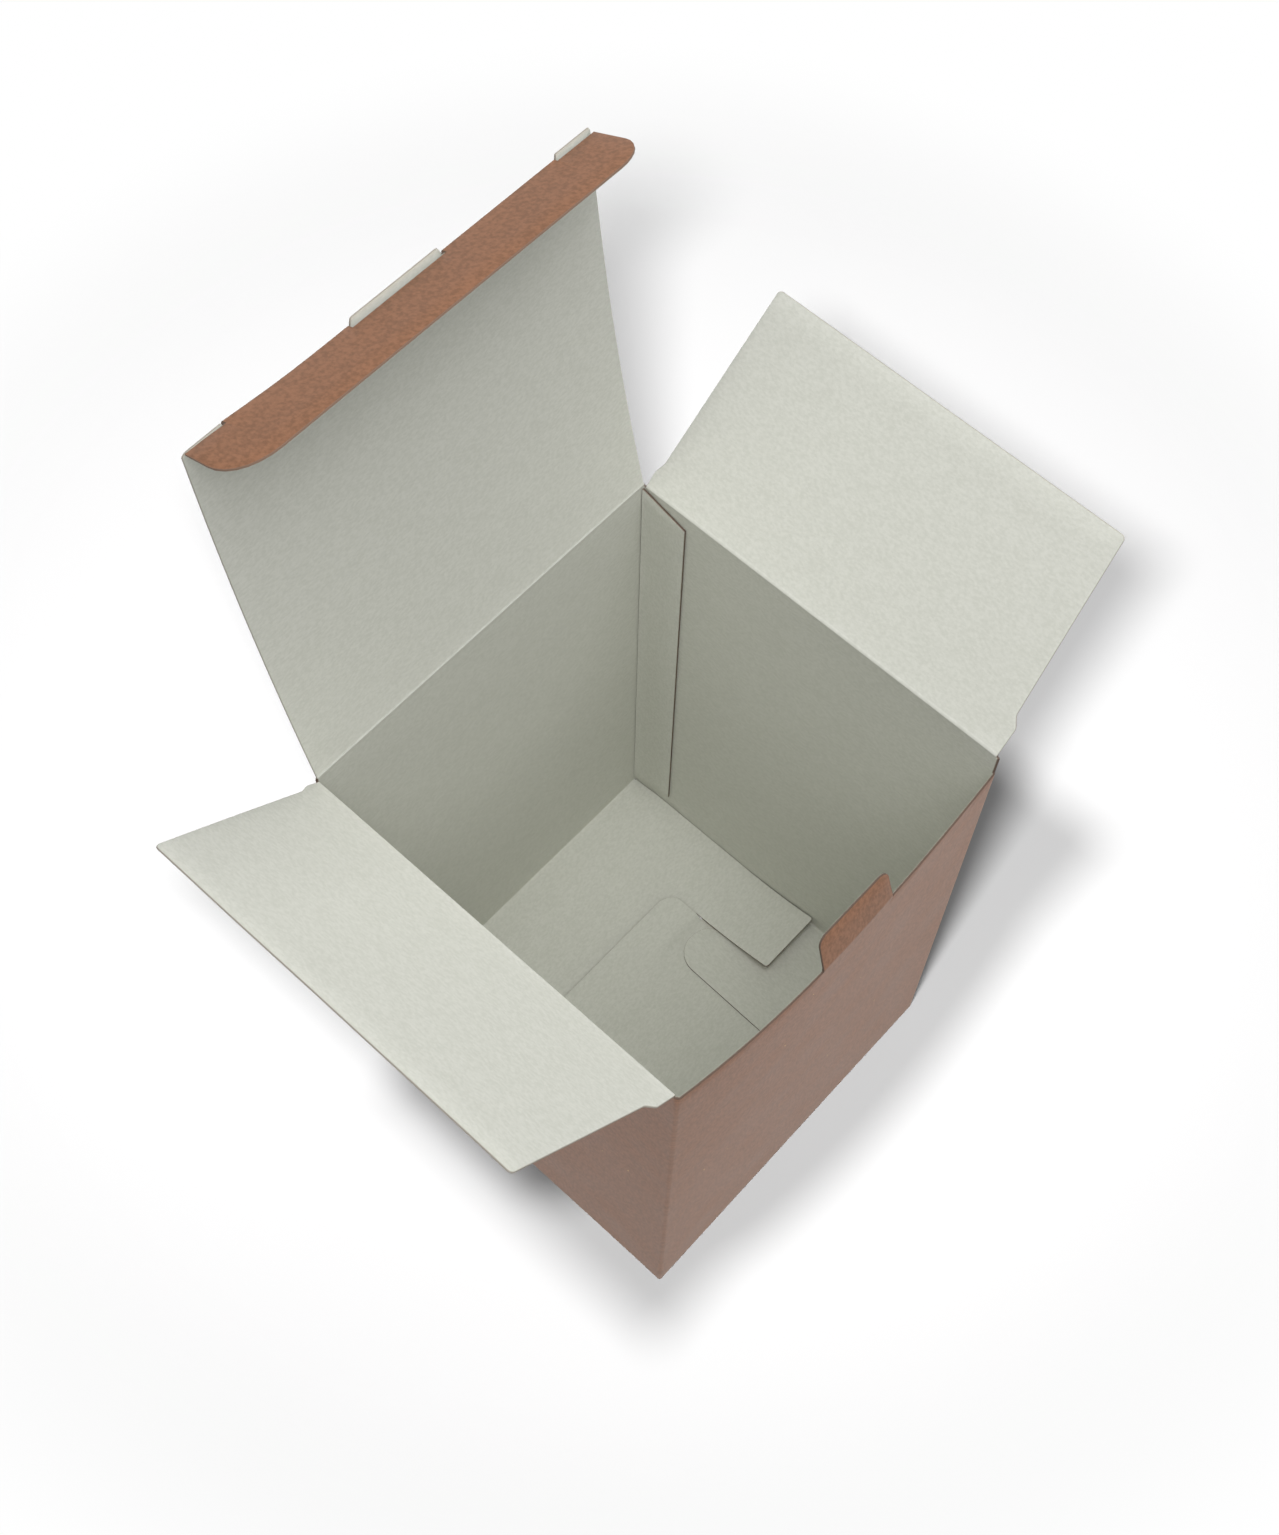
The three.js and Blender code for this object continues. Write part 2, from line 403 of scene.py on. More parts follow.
@dataclass(frozen=True)
class CopperPearl(Finish):
    """The outside of the board: coated copper-brown with a soft pearl sheen and a few gold flecks."""

    name: str = "copper_pearl_coat"
    light: Colour = (0.330, 0.157, 0.085)
    dark: Colour = (0.229, 0.110, 0.058)
    worn: Colour = (0.400, 0.270, 0.200)
    fleck: Colour = (0.950, 0.690, 0.250)
    grain: Grain = Grain(cloud_size=14.0, cloud_detail=2.0, fibre_size=0.7, stretch=(1.0, 0.6, 1.0),
                         cloud_share=0.8, fibre_share=3.2, level=-1.5, bump_strength=0.12, bump_depth=0.02)
    metallic: float = 0.12
    fleck_metallic: float = 0.5
    sheen: float = 0.3
    roughness: float = 0.5
    roughness_spread: float = 0.12
    wear: float = 0.12
    fleck_spacing: float = 9.0
    fleck_reach: float = 0.024

    def sockets(self, graph: Graph) -> dict[str, Wire | float]:
        """The coat, worn along the creases, with its flecks.

        Args:
            graph: The node tree that the patterns are added to.

        Returns:
            The shader's sockets by name.
        """
        sheet, clouds, fibres = self.grain.read(graph)
        crease = graph.attribute("crease")
        coat = graph.mix(self.grain.tone(clouds, fibres), self.dark, self.light)
        cells = {"Vector": sheet, "Scale": 1 / self.fleck_spacing}
        fleck = graph.node("ShaderNodeTexVoronoi", None, cells, "Distance") < self.fleck_reach
        coat = graph.mix(crease * fibres * self.wear, coat, self.worn)
        return {
            "Base Color": graph.mix(fleck, coat, self.fleck),
            "Metallic": fleck * self.fleck_metallic + self.metallic,
            "Specular IOR Level": self.sheen,
            "Roughness": self.roughness + (clouds - 0.5) * self.roughness_spread,
            "Normal": self.grain.bump(graph, fibres),
        }


@dataclass(frozen=True)
class BareBoard(Finish):
    """The inside of the board: bare grey-white, faintly mottled, with a lighter line along each opened
    crease, partly stretched fibre and partly painted highlight.
    """

    name: str = "bare_grey_board"
    light: Colour = (0.735, 0.740, 0.676)
    dark: Colour = (0.662, 0.670, 0.602)
    ridge_highlight: Colour = (0.820, 0.820, 0.770)
    grain: Grain = Grain(cloud_size=6.0, cloud_detail=3.0, fibre_size=0.55, stretch=(0.6, 1.0, 1.0),
                         cloud_share=0.6, fibre_share=3.0, level=-1.3, bump_strength=0.25, bump_depth=0.03)
    ridge_highlight_share: float = 0.6
    roughness: float = 0.85
    specular: float = 0.3

    def sockets(self, graph: Graph) -> dict[str, Wire | float]:
        """The mottled board, lightened along its opened creases by a partly painted highlight.

        Args:
            graph: The node tree that the patterns are added to.

        Returns:
            The shader's sockets by name.
        """
        _, clouds, fibres = self.grain.read(graph)
        ridge_highlight = graph.attribute("ridge_highlight")
        tone = graph.mix(self.grain.tone(clouds, fibres), self.dark, self.light)
        return {
            # painted highlight along each opened crease, partly the stretched fibres' own lighter tone
            "Base Color": graph.mix(ridge_highlight * (fibres + 1.0) * self.ridge_highlight_share, tone, self.ridge_highlight),
            "Roughness": self.roughness,
            "Specular IOR Level": self.specular,
            "Normal": self.grain.bump(graph, fibres),
        }


@dataclass(frozen=True)
class CutEdge(Finish):
    """The raw edge of the board: brown fibres, with a thin grey layer towards the inside. The dark brown is
    partly painted shade for the thin gaps and contact lines along the edges.
    """

    name: str = "raw_cut_edge"
    pale: Colour = (0.360, 0.325, 0.275)
    # dark core, partly painted shade standing in for the gaps along the cut edges
    core: Colour = (0.125, 0.083, 0.062)
    pale_end: float = 0.16
    core_start: float = 0.34
    fuzz_size: float = 0.4
    fuzz_detail: float = 3.0
    fuzz_share: float = 0.3
    half_thickness: float = 0.25
    roughness: float = 0.9

    def sockets(self, graph: Graph) -> dict[str, Wire | float]:
        """The layers of the board, blurred by their fibres.

        Args:
            graph: The node tree that the patterns are added to.

        Returns:
            The shader's sockets by name.
        """
        sheet = graph.attribute("sheet", "Vector")
        height = graph.node("ShaderNodeSeparateXYZ", None, {0: sheet}, "Z")
        fuzz = graph.noise(sheet, self.fuzz_size, self.fuzz_detail)
        layer = height * (0.5 / self.half_thickness) + 0.5 + (fuzz - 0.5) * self.fuzz_share
        stops = [(0.0, self.pale), (self.pale_end, self.pale), (self.core_start, self.core), (1.0, self.core)]
        colour = graph.node("ShaderNodeValToRGB", {"stops": stops}, {"Fac": layer}, "Color")
        return {"Base Color": colour, "Roughness": self.roughness}


@dataclass(frozen=True)
class DriedGlue(Finish):
    """The film of glue in the side seam: cream, set hard, with thin and thick patches."""

    name: str = "dried_glue"
    thin: Colour = (0.700, 0.650, 0.510)
    thick: Colour = (0.800, 0.755, 0.620)
    patch_size: float = 3.0
    patch_detail: float = 3.0
    roughness: float = 0.38
    roughness_spread: float = 0.2

    def sockets(self, graph: Graph) -> dict[str, Wire | float]:
        """The glue's patches.

        Args:
            graph: The node tree that the patterns are added to.

        Returns:
            The shader's sockets by name.
        """
        place = graph.scaled(graph.node("ShaderNodeTexCoord", output="Object"), (1 / MM, 1 / MM, 1 / MM))
        patches = graph.noise(place, self.patch_size, self.patch_detail)
        return {
            "Base Color": graph.mix(patches, self.thin, self.thick),
            "Roughness": patches * self.roughness_spread + self.roughness,
        }


@dataclass
class Finishes:
    """The materials of the box, in the order of a board piece's slots."""

    outside: bpy.types.Material = field(default_factory=lambda: CopperPearl().build())
    inside: bpy.types.Material = field(default_factory=lambda: BareBoard().build())
    cut: bpy.types.Material = field(default_factory=lambda: CutEdge().build())
    # painted highlight: the raw edges of the lid and the dust flaps are painted pale, partly grey layer and
    # partly light on the edges
    pale_highlight_cut: bpy.types.Material = field(default_factory=lambda: CutEdge(
        name="pale_highlight_cut_edge", pale=(0.560, 0.550, 0.480), core=(0.420, 0.380, 0.320)).build())
    warm_cut: bpy.types.Material = field(default_factory=lambda: CutEdge(
        name="warm_cut_edge", pale=(0.400, 0.340, 0.280), core=(0.240, 0.150, 0.105)).build())
    glue: bpy.types.Material = field(default_factory=lambda: DriedGlue().build())

    @property
    def board(self) -> list[bpy.types.Material]:
        """The materials of a panel whose raw edge is dark brown, partly as painted shade of the gaps along
        it.
        """
        return [self.outside, self.inside, self.cut]

    @property
    def pale_highlight_edged(self) -> list[bpy.types.Material]:
        """The materials of a panel whose raw edge is pale, partly the board's grey layer and partly a painted
        highlight where the edge faces up.
        """
        return [self.outside, self.inside, self.pale_highlight_cut]

    @property
    def warm_edged(self) -> list[bpy.types.Material]:
        """The materials of a panel whose coat is brushed over its raw edge."""
        return [self.outside, self.inside, self.warm_cut]


@dataclass(frozen=True)
class Board:
    """The sheet that the box is cut from, and how it creases."""

    thickness: float = 0.5
    edge_round: float = 0.09
    fold_reach: float = 0.45
    seam_reach: float = 0.62
    bead_height: float = 0.14
    bead_reach: float = 0.75
    stress_reach: float = 1.6
    ridge_highlight_reach: float = 0.3
    cell: float = 5.0
    fold_cells: int = 8
    cut_gap: float = 0.22

    @property
    def half(self) -> float:
        """Half the thickness."""
        return self.thickness / 2

    def is_root(self, place: Vector) -> bool:
        """Whether a flat flap's place lies on the line where the flap goes on from its wall."""
        return abs(place.y + self.seam_reach) < SNAP


def from_crease(place: Vector) -> float:
    """The distance of a flat flap's place from its crease."""
    return abs(place.y)


@dataclass(frozen=True)
class Corner:
    """A corner of a cut outline. Its rounding reaches run across and rise along the panel."""

    x: float
    y: float
    run: float = 0.0
    rise: float = 0.0


def mirrored(corners: Sequence[Corner]) -> list[Corner]:
    """The other half of an outline.

    Args:
        corners: One half.

    Returns:
        The corners turned round to the other side, in reverse order.
    """
    return [Corner(-corner.x, corner.y, corner.run, corner.rise) for corner in reversed(corners)]


@dataclass(frozen=True)
class Fold:
    """A crease and the flap past it.

    The flap's own places are (across, along, out). Along is measured from the crease's axis, negative on the
    side that the flap is folded from. Out is the distance from the middle of the board towards its outside.
    """

    axis: Vector
    across: Vector
    along: Vector
    out: Vector
    angle: float
    reach: float

    def place(self, point: Vector) -> Vector:
        """Folds a point of the flat flap.

        Args:
            point: Its place on the flat flap.

        Returns:
            Its place in the box.
        """
        u, n = self.bent(point.y, point.z)
        return self.axis + self.across * point.x + self.along * u + self.out * n

    def bent(self, u: float, n: float) -> tuple[float, float]:
        """Bends a section of the board round the crease.

        Args:
            u: The distance along the flat board from the axis.
            n: The distance from the middle of the board.

        Returns:
            The same place along and square to the side that the flap is folded from.
        """
        angle = math.radians(self.angle)
        if u <= -self.reach:
            return u, n
        if u >= self.reach:
            return u * math.cos(angle) - n * math.sin(angle), u * math.sin(angle) + n * math.cos(angle)
        radius = self.reach / math.tan(angle / 2)
        turned = angle * (u + self.reach) / (2 * self.reach)
        return (radius - n) * math.sin(turned) - self.reach, radius - (radius - n) * math.cos(turned)

    @property
    def mirrors(self) -> bool:
        """Whether the fold's three directions turn a panel's mesh inside out."""
        return self.across.cross(self.along).dot(self.out) < 0

    def middle(self, along: float) -> Vector:
        """A point in the middle of the board, in metres.

        Args:
            along: Its distance along the flat board from the axis.

        Returns:
            Its place in the box.
        """
        return self.place(Vector((0.0, along, 0.0))) * MM


class Blank:
    """A panel of board, cut flat with its outside up, and then folded."""

    CORNER_SEGMENTS = 7
    RIM_SEGMENTS = 2
    RIM_ANGLE = math.radians(60)
    LEVEL = 0.95

    def __init__(self, board: Board, corners: Sequence[Corner]) -> None:
        """Cuts the outline.

        Args:
            board: The board that it is cut from.
            corners: The outline's corners, one after another.
        """
        self.board = board
        self.mesh = bmesh.new()
        made = [self.mesh.verts.new((corner.x, corner.y, 0.0)) for corner in corners]
        self.mesh.faces.new(made)
        for vertex, corner in zip(made, corners):
            if corner.run:
                self._round(vertex, corner)
        bmesh.ops.remove_doubles(self.mesh, verts=self.mesh.verts, dist=SNAP)
        self.mesh.normal_update()
        if self.mesh.faces[:][0].normal.z < 0:
            bmesh.ops.reverse_faces(self.mesh, faces=self.mesh.faces[:])

    def _round(self, vertex: bmesh.types.BMVert, corner: Corner) -> None:
        """Rounds a corner.

        Args:
            vertex: The corner's vertex.
            corner: How far the rounding reaches.
        """
        stretch = corner.run / (corner.rise or corner.run)
        bmesh.ops.scale(self.mesh, vec=(1.0, stretch, 1.0), verts=self.mesh.verts)
        bmesh.ops.bevel(self.mesh, geom=[vertex], offset=corner.run, offset_type="OFFSET",
                        segments=self.CORNER_SEGMENTS, profile=0.5, affect="VERTICES", material=-1)
        bmesh.ops.scale(self.mesh, vec=(1.0, 1 / stretch, 1.0), verts=self.mesh.verts)

    def slice(self, xs: Iterable[float], ys: Iterable[float]) -> None:
        """Adds the lines that the panel bends on.

        Args:
            xs: The places of the lines that run along it.
            ys: The places of the lines that run across it.
        """
        planes = [((x, 0, 0), (1, 0, 0)) for x in xs] + [((0, y, 0), (0, 1, 0)) for y in ys]
        for place, normal in planes:
            everything = self.mesh.verts[:] + self.mesh.edges[:] + self.mesh.faces[:]
            bmesh.ops.bisect_plane(self.mesh, geom=everything, dist=SNAP, plane_co=place, plane_no=normal)

    def thicken(self, is_seam: Callable[[Vector], bool]) -> None:
        """Gives the panel its thickness, its softened cut edges and its surfaces.

        Args:
            is_seam: Says whether a place of the outline is where the sheet goes on in the next piece.
        """
        bmesh.ops.solidify(self.mesh, geom=self.mesh.faces[:], thickness=self.board.thickness)
        heights = [vertex.co.z for vertex in self.mesh.verts]
        middle = (min(heights) + max(heights)) / 2
        bmesh.ops.translate(self.mesh, vec=(0, 0, -middle), verts=self.mesh.verts)
        self.mesh.normal_update()
        rims = [edge for edge in self.mesh.edges if self._is_rim(edge, is_seam)]
        bmesh.ops.bevel(self.mesh, geom=rims, offset=self.board.edge_round, offset_type="OFFSET",
                        segments=self.RIM_SEGMENTS, profile=0.5, affect="EDGES", material=-1,
                        clamp_overlap=True)
        self.mesh.normal_update()
        for polygon in self.mesh.faces:
            polygon.material_index = self._surface(polygon).value

    def _is_rim(self, edge: bmesh.types.BMEdge, is_seam: Callable[[Vector], bool]) -> bool:
        """Whether an edge lies along a cut of the outline.

        Args:
            edge: The edge.
            is_seam: Says whether a place is where the sheet goes on in the next piece.

        Returns:
            True for the top and bottom edges of a cut.
        """
        low, high = (vertex.co for vertex in edge.verts)
        level = abs(low.z - high.z) < SNAP
        return level and edge.calc_face_angle(0.0) > self.RIM_ANGLE and not (is_seam(low) and is_seam(high))

    def _surface(self, polygon: bmesh.types.BMFace) -> Face:
        """The surface that a face belongs to.

        Args:
            polygon: A face of the thick, still flat panel.

        Returns:
            Its surface.
        """
        if polygon.normal.z > self.LEVEL:
            return Face.OUTSIDE
        if polygon.normal.z < -self.LEVEL:
            return Face.INSIDE
        return Face.CUT

    def shape(self, rule: Rule, creases: Callable[[Vector], float], opened: bool = False) -> None:
        """Moves the panel's points to their places and keeps what the finishes read.

        Args:
            rule: Gives the place in the box for each place on the flat panel.
            creases: The distance of a place on the flat panel from the nearest crease.
            opened: Whether the crease is bent outwards, so that a painted highlight, partly stretched fibre,
                lines its inner crest.
        """
        sheet = self.mesh.verts.layers.float_vector.new("sheet")
        crease = self.mesh.verts.layers.float.new("crease")
        ridge_highlight = self.mesh.verts.layers.float.new("ridge_highlight")
        for vertex in self.mesh.verts:
            flat = vertex.co.copy()
            distance = creases(flat)
            vertex[sheet] = flat
            vertex[crease] = 1 - ease(distance, 0.0, self.board.stress_reach)
            # the painted highlight's mask, on outward creases only
            vertex[ridge_highlight] = 1 - ease(distance, 0.0, self.board.ridge_highlight_reach) if opened else 0.0
            if flat.z < 0:
                bead = 1 - ease(distance, 0.0, self.board.bead_reach)
                flat.z -= bead * self.board.bead_height
            vertex.co = rule(flat)

    def finish(self, name: str, materials: Sequence[bpy.types.Material], flipped: bool) -> bpy.types.Object:
        """Makes the panel an object.

        Args:
            name: The object's name.
            materials: Its material slots.
            flipped: Whether the rule that shaped it mirrors it.

        Returns:
            The object, in metres, with its place in its mesh.
        """
        if flipped:
            bmesh.ops.reverse_faces(self.mesh, faces=self.mesh.faces[:])
        bmesh.ops.scale(self.mesh, vec=(MM, MM, MM), verts=self.mesh.verts)
        mesh = bpy.data.meshes.new(name)
        self.mesh.to_mesh(mesh)
        self.mesh.free()
        mesh.shade_smooth()
        mesh.set_sharp_from_angle(angle=SHARP_FOLD)
        for material in materials:
            mesh.materials.append(material)
        made = bpy.data.objects.new(name, mesh)
        bpy.context.scene.collection.objects.link(made)
        LOG.info("%s: %d faces", name, len(mesh.polygons))
        return made


@dataclass
class Carton:
    """What all sub-assemblies of the box share."""

    finishes: Finishes
    board: Board = field(default_factory=Board)
    crease_height: float = field(default_factory=lambda: joint_place("left_dust_fold").z)
    half_width: float = field(default_factory=lambda: joint_place("right_dust_fold").x)
    bow: float = 3.5
    bow_skew: float = 0.5
    bow_power: float = 1.5
    glue_gap: float = 0.125

    @property
    def inner(self) -> float:
        """The distance of a wall's inner face from the middle of the box."""
        return self.half_width - self.board.half

    def bow_out(self, x: float, z: float) -> float:
        """How far the front wall bows out.

        Args:
            x: The place across the wall.
            z: The height.

        Returns:
            The distance that its middle stands in front of its flat place.
        """
        share = clamped(x / (2 * self.half_width) + 0.5)
        lean = 1 + self.bow_skew * (0.5 - share)
        top = joint_place("lock_tab_fold").z
        return self.bow * arch(share) * lean * (max(z, 0.0) / top) ** self.bow_power

    def fold_lines(self) -> list[float]:
        """The lines that a crease bends on.

        Returns:
            Their places, measured from its axis.
        """
        board = self.board
        bends = spread(-board.fold_reach, board.fold_reach, board.fold_cells)
        return bends + [-board.seam_reach, board.seam_reach, board.bead_reach]

    def cells(self, low: float, high: float) -> list[float]:
        """Lines about a cell apart.

        Args:
            low: Where the panel starts.
            high: Where it ends.

        Returns:
            The places of the lines between, without the ends.
        """
        return spread(low, high, max(2, round((high - low) / self.board.cell)))[1:-1]

    def fold(self, axis: Vector, side: Side, along: Vector, angle: float) -> Fold:
        """A crease of this board.

        Args:
            axis: A point on the crease.
            side: The side of the box that the crease belongs to.
            along: The direction in which the flap is folded from its wall.
            angle: How far it is folded, in degrees, outwards above zero.

        Returns:
            The crease.
        """
        return Fold(axis, side.across, along, side.out, angle, self.board.fold_reach)


@dataclass
class Sleeve:
    """The four walls, the glued flap and its film of glue."""

    carton: Carton
    corner_reach: float = 0.65
    corner_cells: int = 5
    lip_drop: float = 0.35
    front_lip_drop: float = 0.4
    tab_half_width: float = 11.0
    dust_end_inset: float = 0.8
    flap_side_inset: float = 0.4
    heel_inset: float = 19.5
    lid_side_inset: float = 0.4
    front_corner_drop: float = 6.0
    front_corner_run: float = 37.3
    glue_width: float = 13.0
    glue_chamfer: float = 4.2
    glue_top_inset: float = 0.6
    glue_foot_inset: float = 2.5
    ripple: float = 0.12
    ripple_size: float = 38.0
    bead_line: float = 0.3

    def build(self) -> None:
        """Makes the walls and the glued flap, and dresses the film of glue."""
        self._back()
        self._side(Side.LEFT)
        self._side(Side.RIGHT)
        self._front()
        self._glue_flap()
        film = frame["nodes"]["glue_film"]
        film.data.materials.clear()
        film.data.materials.append(self.carton.finishes.glue)
        LOG.info("glue_film: dressed")

    def _foot_line(self) -> float:
        """The height at which a wall hands over to its base flap."""
        return self.carton.board.half + self.carton.board.seam_reach

    def _wall(self, name: str, side: Side, corners: Sequence[Corner], rolls: tuple[bool, bool],
              seams: Sequence[tuple[float, float, float]], bow: Callable[[float, float], float]) -> None:
        """Makes one wall.

        Args:
            name: The wall's name, which is also its node's.
            side: The side of the box.
            corners: Its outline, across and up.
            rolls: Whether its low and its high end turn round a corner of the box.
            seams: The height and both ends of each stretch where a flap goes on.
            bow: How far a place across and up stands out of the flat wall.
        """
        carton, board = self.carton, self.carton.board
        edge = carton.half_width
        low, high = min(c.x for c in corners), max(c.x for c in corners)
        bottom, top = min(c.y for c in corners), max(c.y for c in corners)
        blank = Blank(board, corners)
        cuts = spread(-self.corner_reach, 0, self.corner_cells)[:-1]
        turns = [sign * (edge + u) for sign in (-1, 1) for u in cuts]
        beads = [sign * (edge - board.bead_reach - self.bead_line) for sign in (-1, 1)]
        blank.slice(turns + beads + carton.cells(low, high), carton.cells(bottom, top))
        rolled = [end for turned, end in zip(rolls, (-edge, edge)) if turned]

        def is_seam(place: Vector) -> bool:
            """Whether the sheet goes on in the next piece there."""
            if any(abs(place.x - end) < SNAP for end in rolled):
                return True
            return any(abs(place.y - height) < SNAP and start - SNAP <= place.x <= end + SNAP
                       for height, start, end in seams)

        def to_corner(place: Vector) -> float:
            """The distance from the nearer corner fold."""
            return min(abs(place.x - end) for end in rolled)

        roll = Fold(Vector(), side.across, UP, side.out, SQUARE_FOLD, self.corner_reach)

        def rule(place: Vector) -> Vector:
            """Rolls the ends, bows the wall and stands it up.

            Args:
                place: A place on the flat wall.

            Returns:
                Its place in the box.
            """
            end = edge if place.x > 0 else -edge
            across, out = place.x, place.z
            if end in rolled:
                u, out = roll.bent(abs(place.x) - edge, place.z)
                across = math.copysign(edge + u, end)
            flat = (1 + place.x / edge) * (1 - place.x / edge)
            wave = noise.noise(Vector((place.x, place.y, edge * side.out.x)) / self.ripple_size)
            out += bow(place.x, place.y) + self.ripple * wave * flat * arch(clamped(place.y / top))
            return side.across * across + side.out * (edge + out) + UP * place.y

        blank.thicken(is_seam)
        blank.shape(rule, to_corner)
        made = blank.finish(name, carton.finishes.board, roll.mirrors)
        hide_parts(name)
        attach(made, "sleeve")

    def _side(self, side: Side) -> None:
        """Makes the left or the right wall.

        Args:
            side: Which of the two.
        """
        carton, board = self.carton, self.carton.board
        edge = carton.half_width
        outer = edge + board.half
        high = edge if side is Side.LEFT else outer
        top = carton.crease_height - board.seam_reach
        lip = carton.crease_height - self.lip_drop
        flap = edge - self.dust_end_inset
        foot = self._foot_line()
        base_low = self.flap_side_inset - carton.inner
        base_high = carton.inner - self.heel_inset
        corners = [
            Corner(-edge, 0), Corner(base_low, 0), Corner(base_low, foot), Corner(base_high, foot),
            Corner(base_high, 0), Corner(high, 0), Corner(high, lip), Corner(flap, lip), Corner(flap, top),
            Corner(-flap, top), Corner(-flap, lip), Corner(-edge, lip),
        ]
        seams = [(top, -flap, flap), (foot, base_low, base_high)]
        name = "left_wall" if side is Side.LEFT else "right_wall"
        self._wall(name, side, corners, (True, side is Side.LEFT), seams, lambda x, z: 0.0)

    def _back(self) -> None:
        """Makes the back wall."""
        carton, board = self.carton, self.carton.board
        edge = carton.half_width
        top = joint_place("lid_fold").z - board.seam_reach
        lip = joint_place("lid_fold").z - self.lip_drop
        lid = edge - self.lid_side_inset
        foot = self._foot_line()
        flap = carton.inner - self.flap_side_inset
        corners = [
            Corner(-edge, 0), Corner(-flap, 0), Corner(-flap, foot), Corner(flap, foot), Corner(flap, 0),
            Corner(edge, 0), Corner(edge, lip), Corner(lid, lip), Corner(lid, top), Corner(-lid, top),
            Corner(-lid, lip), Corner(-edge, lip),
        ]
        seams = [(top, -lid, lid), (foot, -flap, flap)]
        self._wall("back_wall", Side.BACK, corners, (True, True), seams, lambda x, z: 0.0)

    def _front(self) -> None:
        """Makes the front wall, whose free top edge bows out and runs down to its right-hand corner."""
        carton, board = self.carton, self.carton.board
        edge = carton.half_width
        tab = self.tab_half_width
        crease = joint_place("lock_tab_fold").z
        top = crease - self.front_lip_drop
        seam = crease - board.seam_reach
        slope = carton.inner - self.front_corner_run
        foot = self._foot_line()
        flap = carton.inner - self.flap_side_inset
        corners = [
            Corner(-edge, 0), Corner(-flap, 0), Corner(-flap, foot), Corner(flap, foot), Corner(flap, 0),
            Corner(edge, 0), Corner(edge, top - self.front_corner_drop), Corner(slope, top), Corner(tab, top),
            Corner(tab, seam), Corner(-tab, seam), Corner(-tab, top), Corner(-edge, top),
        ]
        seams = [(seam, -tab, tab), (foot, -flap, flap)]
        self._wall("front_wall", Side.FRONT, corners, (True, True), seams, carton.bow_out)

    def _glue_flap(self) -> None:
        """Makes the flap that is folded off the back wall and glued inside the right wall."""
        carton, board = self.carton, self.carton.board
        top = carton.crease_height - self.glue_top_inset
        low = self.glue_foot_inset
        free = self.glue_width
        corners = [
            Corner(low, 0), Corner(top, 0), Corner(top - self.glue_chamfer, free),
            Corner(low + self.glue_chamfer, free),
        ]
        blank = Blank(board, corners)
        turns = spread(0, self.corner_reach, self.corner_cells)[1:]
        blank.slice(carton.cells(low, top), turns + carton.cells(0, free))
        outer = carton.inner - carton.glue_gap
        axis = Vector((outer - board.half, carton.half_width, 0))
        crease = Fold(axis, UP, Side.BACK.across, Side.BACK.out, SQUARE_FOLD, self.corner_reach)
        blank.thicken(lambda place: from_crease(place) < SNAP)
        blank.shape(crease.place, from_crease)
        made = blank.finish("glue_flap", carton.finishes.board, crease.mirrors)
        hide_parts("glue_flap")
        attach(made, "sleeve")


@dataclass(frozen=True)
class LidEnd:
    """What differs between the two ends of the lid's far edge.

    The ear is the lid's own corner, cut free of the tuck flap. The tuck flap has a rounded corner there,
    which lies in from the box's side, and its slit edge can spring up a little.
    """

    ear_reach: float
    ear_rounding: float
    inset: float
    corner_run: float
    corner_rise: float
    spring: float


